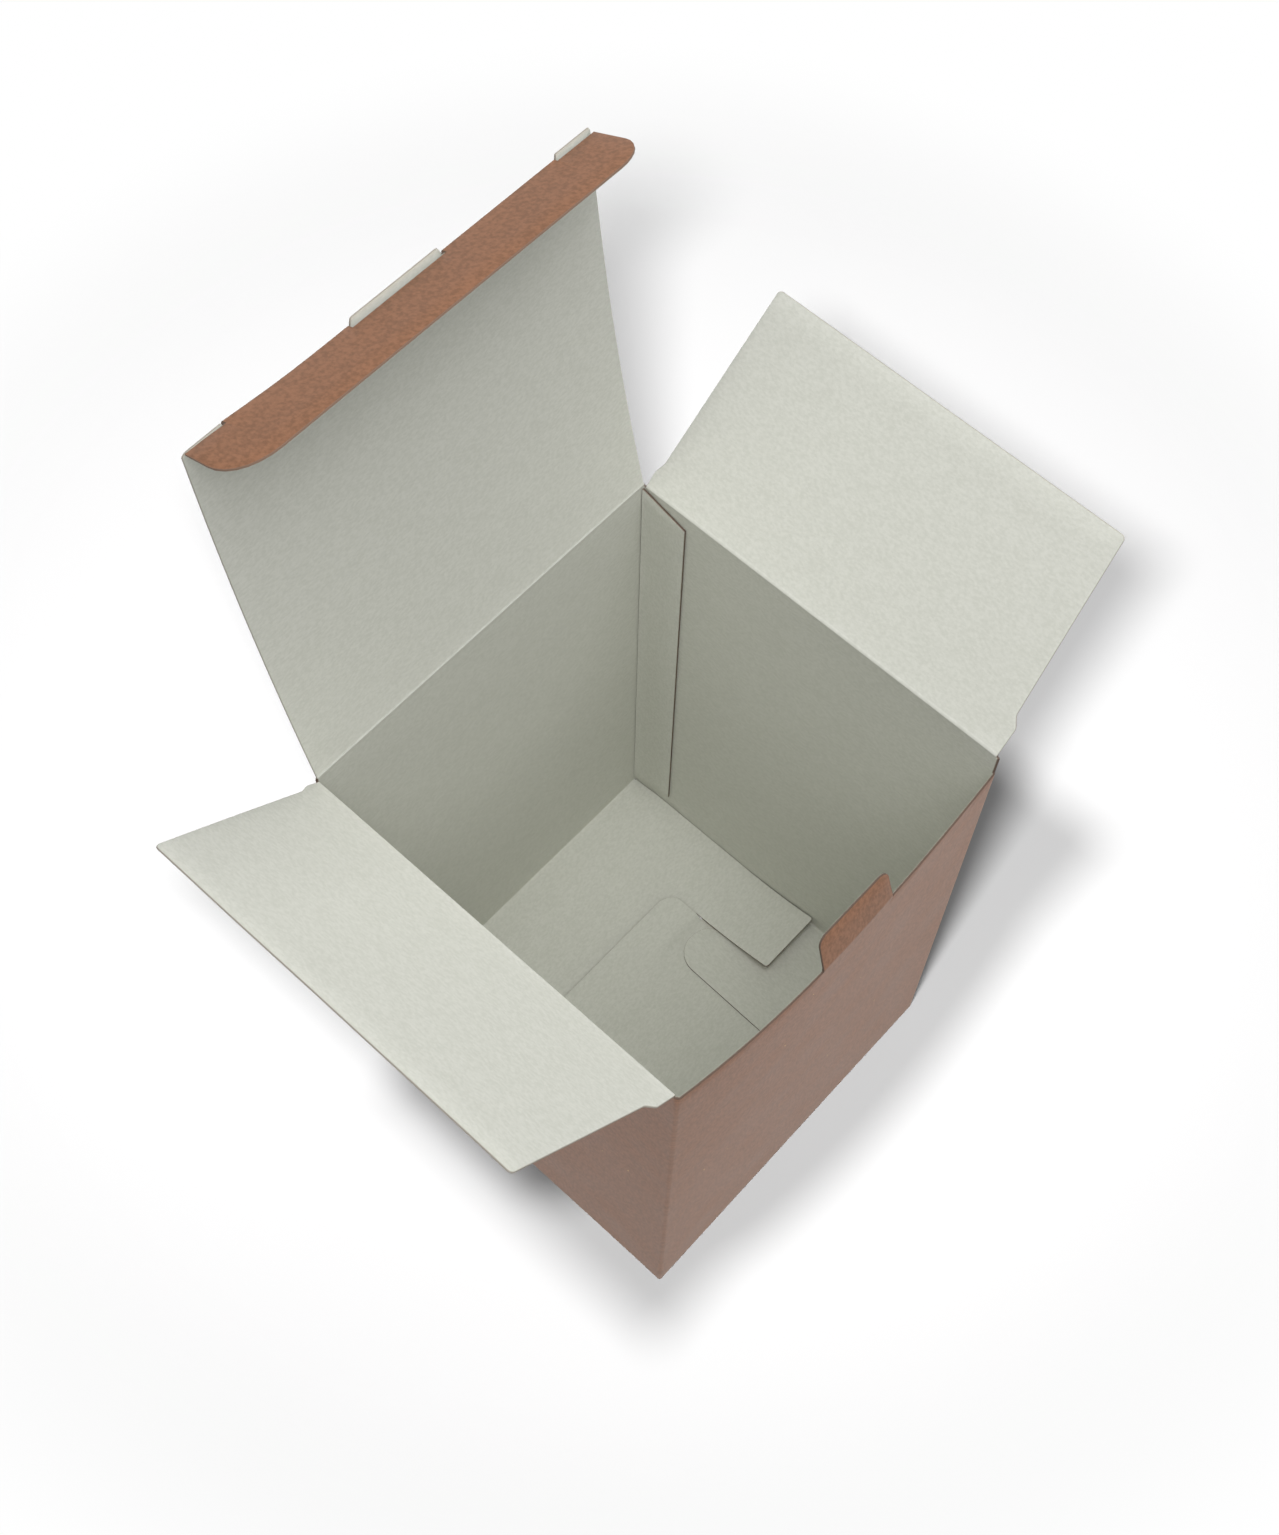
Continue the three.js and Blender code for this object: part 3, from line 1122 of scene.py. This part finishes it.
@dataclass
class Lid:
    """The lid with its tongue and ears, and the tuck flap folded from its end."""

    carton: Carton
    side_inset: float = 0.4
    bow: float = 1.8
    tongue_reach: float = 1.35
    tongue_width: float = 22.4
    ear_width: float = 9.3
    lip_slope: float = 0.6
    tongue_rounding: float = 0.4
    ear_root_rounding: float = 0.2
    ear_rounding_share: float = 0.8
    tuck_depth: float = 16.5
    tuck_angle: float = -72.0
    right: LidEnd = LidEnd(ear_reach=1.05, ear_rounding=0.3, inset=0.0, corner_run=7.4, corner_rise=6.4,
                           spring=0.0)
    left: LidEnd = LidEnd(ear_reach=1.05, ear_rounding=1.6, inset=0.4, corner_run=10.0, corner_rise=8.8,
                          spring=1.2)

    def build(self) -> None:
        """Makes the lid and its tuck flap."""
        carton = self.carton
        hinge = joint_place("lid_fold")
        arm = joint_place("tuck_fold") - hinge
        self.length = arm.length
        lean = math.degrees(math.atan2(arm.y, arm.z))
        self.crease = carton.fold(hinge, Side.BACK, UP, lean)
        self._panel()
        self._tuck(arm)

    def _bow(self, along: float) -> float:
        """How far the lid bows out at a distance from its fold."""
        return self.bow * arch(clamped(along / self.length))

    def _far_edge(self, end: LidEnd, side: float) -> list[Corner]:
        """Half of the lid's outline.

        Args:
            end: The end that it belongs to.
            side: How far the lid reaches to that side.

        Returns:
            The corners, from the middle of the far edge round to the lid's fold.
        """
        seam = self.length - self.carton.board.seam_reach
        tongue = self.tongue_width / 2
        ear = side - self.ear_width
        top = self.length + self.tongue_reach
        ear_top = self.length + end.ear_reach
        return [
            Corner(tongue - self.lip_slope, top, self.tongue_rounding, self.tongue_rounding),
            Corner(tongue, seam), Corner(ear, seam),
            Corner(ear + self.lip_slope / 2, ear_top, self.ear_root_rounding, self.ear_root_rounding),
            Corner(side, ear_top, end.ear_rounding, end.ear_reach * self.ear_rounding_share),
            Corner(side, -self.carton.board.seam_reach),
        ]

    def _tuck_half(self, end: LidEnd) -> list[Corner]:
        """Half of the tuck flap's outline.

        Args:
            end: The end that it belongs to.

        Returns:
            The corners, from the free edge round to the cut of the tongue.
        """
        carton, board = self.carton, self.carton.board
        side = carton.half_width - self.side_inset - end.inset
        slit = end.ear_reach + board.cut_gap
        slot = self.tongue_reach + board.cut_gap
        ear = carton.half_width - self.side_inset - self.ear_width - board.cut_gap
        tongue = self.tongue_width / 2 + board.cut_gap
        return [
            Corner(side, self.tuck_depth, end.corner_run, end.corner_rise), Corner(side, slit),
            Corner(ear, slit), Corner(ear, -board.seam_reach), Corner(tongue, -board.seam_reach),
            Corner(tongue, slot),
        ]

    def _spring(self, place: Vector) -> float:
        """How far the tuck flap's slit ends stand up from it.

        Args:
            place: A place on the flat flap.

        Returns:
            The distance that the place is lifted by.
        """
        end = self.right if place.x > 0 else self.left
        side = self.carton.half_width
        outward = ease(abs(place.x), self.tongue_width / 2, side) ** 2
        return end.spring * outward * (1 - ease(place.y, 0.0, self.tuck_depth))

    def _panel(self) -> None:
        """Makes the lid itself."""
        carton, board = self.carton, self.carton.board
        side = carton.half_width - self.side_inset
        seam = self.length - board.seam_reach
        tongue = self.tongue_width / 2
        ear = side - self.ear_width
        blank = Blank(board, self._far_edge(self.right, side) + mirrored(self._far_edge(self.left, side)))
        blank.slice(carton.cells(-side, side), carton.fold_lines() + carton.cells(0, self.length))

        def is_seam(place: Vector) -> bool:
            """Whether the sheet goes on in the next piece there."""
            tucked = abs(place.y - seam) < SNAP and tongue - SNAP <= abs(place.x) <= ear + SNAP
            return tucked or board.is_root(place)

        def rule(place: Vector) -> Vector:
            """Bows and folds the lid."""
            return self.crease.place(place + UP * self._bow(place.y))

        blank.thicken(is_seam)
        blank.shape(rule, from_crease, opened=True)
        made = blank.finish("lid_panel", carton.finishes.pale_highlight_edged, self.crease.mirrors)
        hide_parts("lid_panel")
        reach = board.fold_reach
        self.crease.middle(-reach)
        self.crease.middle(reach)
        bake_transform(made)

    def _tuck(self, arm: Vector) -> None:
        """Makes the tuck flap.

        Args:
            arm: The way from the lid's fold to the tuck flap's.
        """
        carton, board = self.carton, self.carton.board
        along = arm.normalized()
        out = Vector((0, along.z, -along.y))
        axis = joint_place("tuck_fold")
        crease = Fold(axis, Side.BACK.across, along, out, self.tuck_angle, board.fold_reach)
        side = carton.half_width
        blank = Blank(board, self._tuck_half(self.right) + mirrored(self._tuck_half(self.left)))
        blank.slice(carton.cells(-side, side), carton.fold_lines() + carton.cells(0, self.tuck_depth))

        def rule(place: Vector) -> Vector:
            """Folds the flap, with its root on the bowed lid."""
            root = self._bow(self.length + place.y) if place.y < 0 else 0.0
            return crease.place(place + UP * (root + self._spring(place)))

        blank.thicken(board.is_root)
        blank.shape(rule, from_crease)
        made = blank.finish("tuck_flap", carton.finishes.warm_edged, crease.mirrors)
        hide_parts("tuck_flap")
        reach = board.fold_reach
        crease.middle(-reach)
        crease.middle(reach)
        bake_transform(made)


@dataclass
class DustFlaps:
    """The two flaps that fold in from the side walls before the lid."""

    carton: Carton
    left_angle: float = 47.8
    right_angle: float = 46.2
    length: float = 52.0
    end_inset: float = 0.8
    shoulder: float = 7.0
    shoulder_run: float = 2.4
    shoulder_step: float = 2.4
    front_taper: float = 5.2
    back_shoulder: float = 4.0
    back_run: float = 2.5
    back_step: float = 1.8
    back_taper: float = 3.8
    shoulder_radius: float = 0.5
    tip_radius: float = 1.0
    curl: float = 0.3
    curl_start: float = 2.0
    curl_size: float = 34.0

    def build(self) -> None:
        """Makes both flaps."""
        self._flap("left_dust_flap", "left_flap", Side.LEFT, self.left_angle)
        self._flap("right_dust_flap", "right_flap", Side.RIGHT, self.right_angle)

    def _outline(self) -> list[Corner]:
        """The outline of the flap.

        Returns:
            Its corners, across from front to back and along from its crease.
        """
        edge = self.carton.half_width
        seam = -self.carton.board.seam_reach
        front, back = -edge, edge
        bend, tip = self.shoulder_radius, self.tip_radius
        return [
            Corner(front + self.end_inset, seam),
            Corner(back - self.end_inset, seam),
            Corner(back - self.end_inset, self.back_shoulder, bend, bend),
            Corner(back - self.back_step, self.back_shoulder + self.back_run, bend, bend),
            Corner(back - self.back_taper, self.length, tip, tip),
            Corner(front + self.front_taper, self.length, tip, tip),
            Corner(front + self.shoulder_step, self.shoulder + self.shoulder_run, bend, bend),
            Corner(front + self.end_inset, self.shoulder, bend, bend),
        ]

    def _flap(self, name: str, body: str, side: Side, angle: float) -> None:
        """Makes one flap.

        Args:
            name: The flap's name, which is also its node's.
            body: Not used.
            side: The side of the box that it hangs on.
            angle: How far it leans out of the upright wall, in degrees.
        """
        carton, board = self.carton, self.carton.board
        axis = side.out * carton.half_width + UP * carton.crease_height
        crease = carton.fold(axis, side, UP, angle)
        edge = carton.half_width
        blank = Blank(board, self._outline())
        blank.slice(carton.cells(-edge, edge), carton.fold_lines() + carton.cells(0, self.length))

        def rule(place: Vector) -> Vector:
            """Folds the flap, with a faint wave in it.

            Args:
                place: A place on the flat board.

            Returns:
                Its place in the box.
            """
            free = ease(place.y, self.curl_start, self.length)
            wave = noise.noise(Vector((place.x, place.y, edge * side.out.x)) / self.curl_size)
            return crease.place(place + UP * (self.curl * wave * free))

        blank.thicken(board.is_root)
        blank.shape(rule, from_crease, opened=True)
        made = blank.finish(name, carton.finishes.pale_highlight_edged, crease.mirrors)
        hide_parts(name)
        reach = board.fold_reach
        crease.middle(-reach)
        crease.middle(reach)
        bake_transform(made)


@dataclass
class LockTab:
    """The small tab on the front wall's top edge, which enters the slot in the tuck flap."""

    carton: Carton
    angle: float = -17.0
    width: float = 22.0
    length: float = 10.0
    taper: float = 0.6
    corner: float = 2.4
    cells: int = 10

    def build(self) -> None:
        """Makes the tab."""
        carton, board = self.carton, self.carton.board
        axis = joint_place("lock_tab_fold")
        crease = carton.fold(axis, Side.FRONT, UP, self.angle)
        root = self.width / 2
        tip = root - self.taper
        corners = [
            Corner(-root, -board.seam_reach), Corner(root, -board.seam_reach),
            Corner(tip, self.length, self.corner, self.corner),
            Corner(-tip, self.length, self.corner, self.corner),
        ]
        blank = Blank(board, corners)
        blank.slice(spread(-root, root, self.cells)[1:-1], carton.fold_lines() + carton.cells(0, self.length))
        middle = carton.bow_out(0, axis.z)

        def rule(place: Vector) -> Vector:
            """Folds the tab, with its root on the bowed edge of the wall.

            Args:
                place: A place on the flat board.

            Returns:
                Its place in the box.
            """
            root_bow = carton.bow_out(place.x, axis.z + min(0.0, place.y)) - middle
            loose = 1 - ease(place.y, 0.0, self.length)
            return crease.place(place + UP * (root_bow * loose))

        blank.thicken(board.is_root)
        blank.shape(rule, from_crease)
        made = blank.finish("front_lock_tab", carton.finishes.board, crease.mirrors)
        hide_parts("front_lock_tab")
        reach = board.fold_reach
        crease.middle(-reach)
        crease.middle(reach)
        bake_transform(made)


@dataclass
class Base:
    """The four flaps that lock in each other under the mug, in layers from the front flap upwards."""

    carton: Carton
    side_inset: float = 0.4
    notch_width: float = 60.6
    notch_depth: float = 39.75
    leg_reach: float = 25.65
    leg_tip_radius: float = 0.8
    leg_lift: float = 3.5
    side_front_reach: float = 33.6
    side_back_reach: float = 32.2
    finger_width: float = 13.0
    finger_slack: float = 0.01
    heel_inset: float = 19.5
    tongue_lap: float = 8.75
    tongue_corner_run: float = 5.0
    tongue_corner_rise: float = 4.5
    ramp_run: float = 3.5
    neck: float = 6.0
    root_lap: float = 0.7
    root_run: float = 1.2
    taper_length: float = 20.0
    climb: float = 2.0
    back_climb: float = 9.0
    root_inset: float = 0.12
    early_ramp: float = 9.0
    early_half_width: float = 16.5
    early_inner_ease: float = 5.0
    early_outer_ease: float = 1.5
    tip_lift: float = 0.9
    neck_radius: float = 3.0
    notch_radius: float = 1.0
    heel_radius: float = 2.0
    leg_root_height: float = 0.7
    ramp_cells: int = 6
    front_layer: int = 0
    side_layer: int = 1
    back_layer: int = 2
    tongue_layer: int = 3

    def build(self) -> None:
        """Makes the four flaps."""
        carton, board = self.carton, self.carton.board
        self.notch_bottom = carton.inner - self.notch_depth
        self.ramp_end = self.notch_bottom - board.cut_gap
        self.ramp_start = self.ramp_end - self.ramp_run
        self._front()
        self._side("base_left_flap", Side.LEFT)
        self._side("base_right_flap", Side.RIGHT)
        self._back()

    def _flap(self, name: str, side: Side, corners: Sequence[Corner], layer: int, climb: float,
              rise: Callable[[float, float], float], lines: Sequence[float] = ()) -> None:
        """Makes one flap of the base.

        Args:
            name: The flap's name, which is also its node's.
            side: The side of the box that it is folded from.
            corners: Its outline, across and along from the middle of its wall.
            layer: How many flaps lie under it.
            climb: How long it takes past its crease to reach its layer.
            rise: How far a place across and along stands above the flap's layer.
            lines: More lines that it bends on, across it.
        """
        carton, board = self.carton, self.carton.board
        axis = side.out * carton.half_width + UP * board.half
        crease = carton.fold(axis, side, -UP, SQUARE_FOLD)
        low, high = min(c.x for c in corners), max(c.x for c in corners)
        end = max(c.y for c in corners)
        blank = Blank(board, corners)
        climbs = spread(board.fold_reach, board.fold_reach + climb, self.ramp_cells)
        across = [*carton.fold_lines(), *climbs, *carton.cells(0, end), *lines]
        blank.slice(carton.cells(low, high), across)

        def rule(place: Vector) -> Vector:
            """Folds the flap and lifts it to its layer.

            Args:
                place: A place on the flat board.

            Returns:
                Its place in the box.
            """
            step = layer * board.thickness * ease(place.y, board.fold_reach, board.fold_reach + climb)
            lift = step + rise(place.x, place.y)
            return crease.place(place) + UP * lift

        blank.thicken(board.is_root)
        blank.shape(rule, from_crease)
        made = blank.finish(name, carton.finishes.board, crease.mirrors)
        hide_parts(name)
        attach(made, "sleeve")

    def _from_wall(self, y: float, side: Side) -> float:
        """The distance of a place from the middle of a wall.

        Args:
            y: The place, measured along the way that the wall faces the box's middle from.
            side: The front or the back.

        Returns:
            The distance along the flat flap.
        """
        return self.carton.half_width + (y if side is Side.FRONT else -y)

    def _front(self) -> None:
        """Makes the front flap, whose tongue climbs past the side flaps and lies over the back flap."""
        carton, board = self.carton, self.carton.board
        side = carton.inner - self.side_inset
        tongue = self.notch_width / 2 - board.cut_gap
        start = self._from_wall(self.ramp_start, Side.FRONT)
        end = self._from_wall(self.ramp_end, Side.FRONT)
        tip = self._from_wall(self.notch_bottom + self.tongue_lap, Side.FRONT)
        bend = self.neck_radius
        root = tongue + self.root_lap
        half = [
            Corner(side, -board.seam_reach), Corner(side, start - self.neck - self.taper_length, bend, bend),
            Corner(root, start - self.neck, bend, bend), Corner(root, start + self.root_run),
            Corner(tongue, start + self.root_run),
            Corner(tongue, tip, self.tongue_corner_run, self.tongue_corner_rise),
        ]
        over = self.tongue_layer * board.thickness
        inner = self.early_half_width - self.early_inner_ease
        outer = self.early_half_width + self.early_outer_ease

        def rise(x: float, y: float) -> float:
            """Lifts the tongue early in its middle, where no side flap lies on it, and curls its tip up."""
            early = self.early_ramp * (1 - ease(abs(x), inner, outer))
            return over * ease(y, start - early, end) + self.tip_lift * ease(y, end, tip) ** 2

        cells = self.ramp_cells
        lines = spread(start - self.early_ramp, start, cells)[:-1] + spread(start, end, cells)
        self._flap("base_front_flap", Side.FRONT, half + mirrored(half), self.front_layer, self.climb, rise,
                   lines)

    def _back(self) -> None:
        """Makes the back flap with its two legs, of which the right one springs up."""
        carton, board = self.carton, self.carton.board
        side = carton.inner - self.side_inset
        notch = self.notch_width / 2
        bottom = self._from_wall(self.notch_bottom, Side.BACK)
        tip = bottom + self.leg_reach
        radius = self.leg_tip_radius
        root = carton.inner - self.root_inset
        half = [
            Corner(notch, bottom, self.notch_radius, self.notch_radius), Corner(notch, tip, radius, radius),
            Corner(side, tip, radius, radius), Corner(root, bottom), Corner(root, self.leg_root_height),
            Corner(side, self.leg_root_height), Corner(side, -board.seam_reach),
        ]

        def rise(x: float, y: float) -> float:
            """Springs the right leg up."""
            return self.leg_lift * max(0.0, (y - bottom) / self.leg_reach) ** 2 if x > 0 else 0.0

        self._flap("base_back_flap", Side.BACK, half + mirrored(half), self.back_layer, self.back_climb, rise)

    def _side(self, name: str, side: Side) -> None:
        """Makes a side flap with its rounded finger.

        Args:
            name: The flap's name.
            side: The left or the right.
        """
        carton, board = self.carton, self.carton.board
        fingertip = self.ramp_start - board.cut_gap
        outer = self.side_back_reach - self.finger_width + board.half
        radius = self.finger_width / 2
        turn = radius - self.finger_slack
        corners = [
            Corner(self.side_inset - carton.inner, -board.seam_reach),
            Corner(carton.inner - self.heel_inset, -board.seam_reach),
            Corner(carton.inner - self.heel_inset, board.half),
            Corner(fingertip - radius, outer, self.heel_radius, self.heel_radius),
            Corner(fingertip, outer, turn, turn), Corner(fingertip, outer + self.finger_width, turn, turn),
            Corner(self.side_inset - carton.inner, self.side_front_reach + board.half),
        ]
        self._flap(name, side, corners, self.side_layer, self.climb, lambda x, y: 0.0)


def hang_lamp(name: str, place: Vector, facing: Vector, size: float, power: float) -> bpy.types.Object:
    """Hangs an area lamp.

    Args:
        name: The lamp's name.
        place: Where it hangs, in metres.
        facing: The direction that it shines in.
        size: Its width, in metres.
        power: Its power, in watts.

    Returns:
        The lamp.
    """
    data = bpy.data.lights.new(name, "AREA")
    data.size = size
    data.energy = power
    lamp = bpy.data.objects.new(name, data)
    bpy.context.scene.collection.objects.link(lamp)
    lamp.matrix_world = Matrix.Translation(place) @ facing.to_track_quat("-Z", "Y").to_matrix().to_4x4()
    return lamp


@dataclass(frozen=True)
class Softbox:
    """A square soft lamp that faces the box, placed by its bearing from the right wall and its height."""

    name: str
    bearing: float
    height: float
    power: float
    distance: float = 1.2
    size: float = 0.8

    def build(self, aim: Vector) -> None:
        """Hangs the lamp.

        Args:
            aim: The point that it faces, in metres.
        """
        turn, rise = math.radians(self.bearing), math.radians(self.height)
        way = Vector((math.cos(turn) * math.cos(rise), math.sin(turn) * math.cos(rise), math.sin(rise)))
        hang_lamp(self.name, aim + way * self.distance, -way, self.size, self.power)


@dataclass(frozen=True)
class FloorLamp:
    """A lamp that lights the floor alone, so that the floor keeps a soft shadow beside the box."""

    name: str
    place: Place
    aim: Place
    power: float
    size: float

    def build(self, lit: bpy.types.Collection) -> None:
        """Hangs the lamp.

        Args:
            lit: The collection that it lights.
        """
        place = Vector(self.place)
        lamp = hang_lamp(self.name, place * MM, Vector(self.aim) - place, self.size * MM, self.power)
        lamp.data.shape = "DISK"
        lamp.light_linking.receiver_collection = lit


@dataclass
class Studio:
    """The pale floor, the soft lights and the camera at the photograph's angle."""

    place: Place = (-153.12, -126.38, 537.27)
    right: Place = (0.67508, -0.73759, 0.01527)
    down: Place = (-0.65345, -0.60742, -0.45172)
    lens: float = 49.99
    sensor: float = 36.0
    clip: tuple[float, float] = (0.01, 50.0)
    floor_size: float = 12.0
    floor_paper: float = 0.08
    floor_bounce: float = 0.38
    floor_middle: Place = (0.06, 0.06, 0.0)
    floor_fade: tuple[float, float] = (0.19, 0.27)
    floor_white: float = 0.09
    fill: float = 0.05
    aim: Place = (0.0, 0.0, 0.1)
    softboxes: Sequence[Softbox] = (
        Softbox("key_softbox", 225, 72, 6.4),
        Softbox("front_softbox", 270, 50, 3.1),
        Softbox("left_softbox", 180, 50, 1.9),
        Softbox("right_softbox", 0, 50, 2.4),
        Softbox("high_right_softbox", 0, 72, 3.8),
    )
    floor_lamps: Sequence[FloorLamp] = (
        FloorLamp("rim_shadow_lamp", (-153, -98, 537), (627, 478, 295), 43, 50),
        FloorLamp("front_shadow_lamp", (-500, 190, 3000), (0, 0, 0), 540, 280),
    )

    def build(self) -> None:
        """Makes the stage."""
        self._camera()
        self._floor()
        self._world()
        for softbox in self.softboxes:
            softbox.build(Vector(self.aim))
        for lamp in self.floor_lamps:
            lamp.build(self.floor_alone)
        bpy.context.scene.view_settings.view_transform = "Standard"

    def _camera(self) -> None:
        """Puts the camera where the photograph was taken from."""
        data = bpy.data.cameras.new("camera")
        data.sensor_fit = "AUTO"
        data.sensor_width = self.sensor
        data.lens = self.lens
        data.clip_start, data.clip_end = self.clip
        camera = bpy.data.objects.new("camera", data)
        bpy.context.scene.collection.objects.link(camera)
        right = Vector(self.right).normalized()
        up = -Vector(self.down).normalized()
        back = right.cross(up).normalized()
        turn = Matrix((right, back.cross(right), back)).transposed().to_4x4()
        camera.matrix_world = Matrix.Translation(Vector(self.place) * MM) @ turn
        bpy.context.scene.camera = camera

    def _floor_finish(self) -> bpy.types.Material:
        """Makes the floor's material.

        The camera sees paper that keeps a soft shadow and turns white further out. Shiny surfaces show it
        white, and it lights the box as a plain light grey.

        Returns:
            The material, with its node tree.
        """
        material = bpy.data.materials.new("studio_floor")
        graph = Graph(material)
        material.cycles.emission_sampling = "NONE"
        paper = graph.node("ShaderNodeBsdfDiffuse", None, {"Color": (*[self.floor_paper] * 3, 1.0)})
        grey = graph.node("ShaderNodeEmission", None, {"Strength": self.floor_bounce})
        white = graph.node("ShaderNodeEmission", None, {"Strength": 1.0})
        place = graph.node("ShaderNodeTexCoord", output="Object")
        away = graph.node("ShaderNodeVectorMath", {"operation": "DISTANCE"},
                          {0: place, 1: self.floor_middle}, "Value")
        near, far = self.floor_fade
        fade = graph.node("ShaderNodeMapRange", {"interpolation_type": "SMOOTHSTEP"},
                          {"Value": away, "From Min": near, "From Max": far, "To Min": self.floor_white})
        shown = graph.mix_shaders(fade, paper, white)
        lit = graph.mix_shaders(graph.rays("Glossy", "Transmission"), grey, white)
        graph.surface(graph.mix_shaders(graph.rays("Camera"), lit, shown))
        return material

    def _floor(self) -> None:
        """Lays the floor, and keeps a collection of it for the lamps that light it alone."""
        mesh = bpy.data.meshes.new("floor")
        shape = bmesh.new()
        bmesh.ops.create_grid(shape, x_segments=1, y_segments=1, size=self.floor_size / 2)
        shape.to_mesh(mesh)
        shape.free()
        mesh.materials.append(self._floor_finish())
        floor = bpy.data.objects.new("floor", mesh)
        bpy.context.scene.collection.objects.link(floor)
        self.floor_alone = bpy.data.collections.new("floor_alone")
        self.floor_alone.objects.link(floor)

    def _world(self) -> None:
        """Surrounds the stage with white, which lights the box only faintly."""
        world = bpy.data.worlds.new("surroundings")
        bpy.context.scene.world = world
        graph = Graph(world)
        white = (1.0, 1.0, 1.0, 1.0)
        fill = graph.node("ShaderNodeBackground", None, {"Color": white, "Strength": self.fill})
        shown = graph.node("ShaderNodeBackground", None, {"Color": white, "Strength": 1.0})
        both = graph.mix_shaders(graph.rays("Camera", "Glossy", "Transmission"), fill, shown)
        graph.node("ShaderNodeOutputWorld", None, {"Surface": both})


def main() -> None:
    """Builds the box and its stage."""
    logging.basicConfig(level=logging.INFO, format="%(name)s: %(message)s")
    carton = Carton(Finishes())
    Sleeve(carton).build()
    Lid(carton).build()
    DustFlaps(carton).build()
    LockTab(carton).build()
    Base(carton).build()
    Studio().build()


if __name__ == "__main__":
    main()
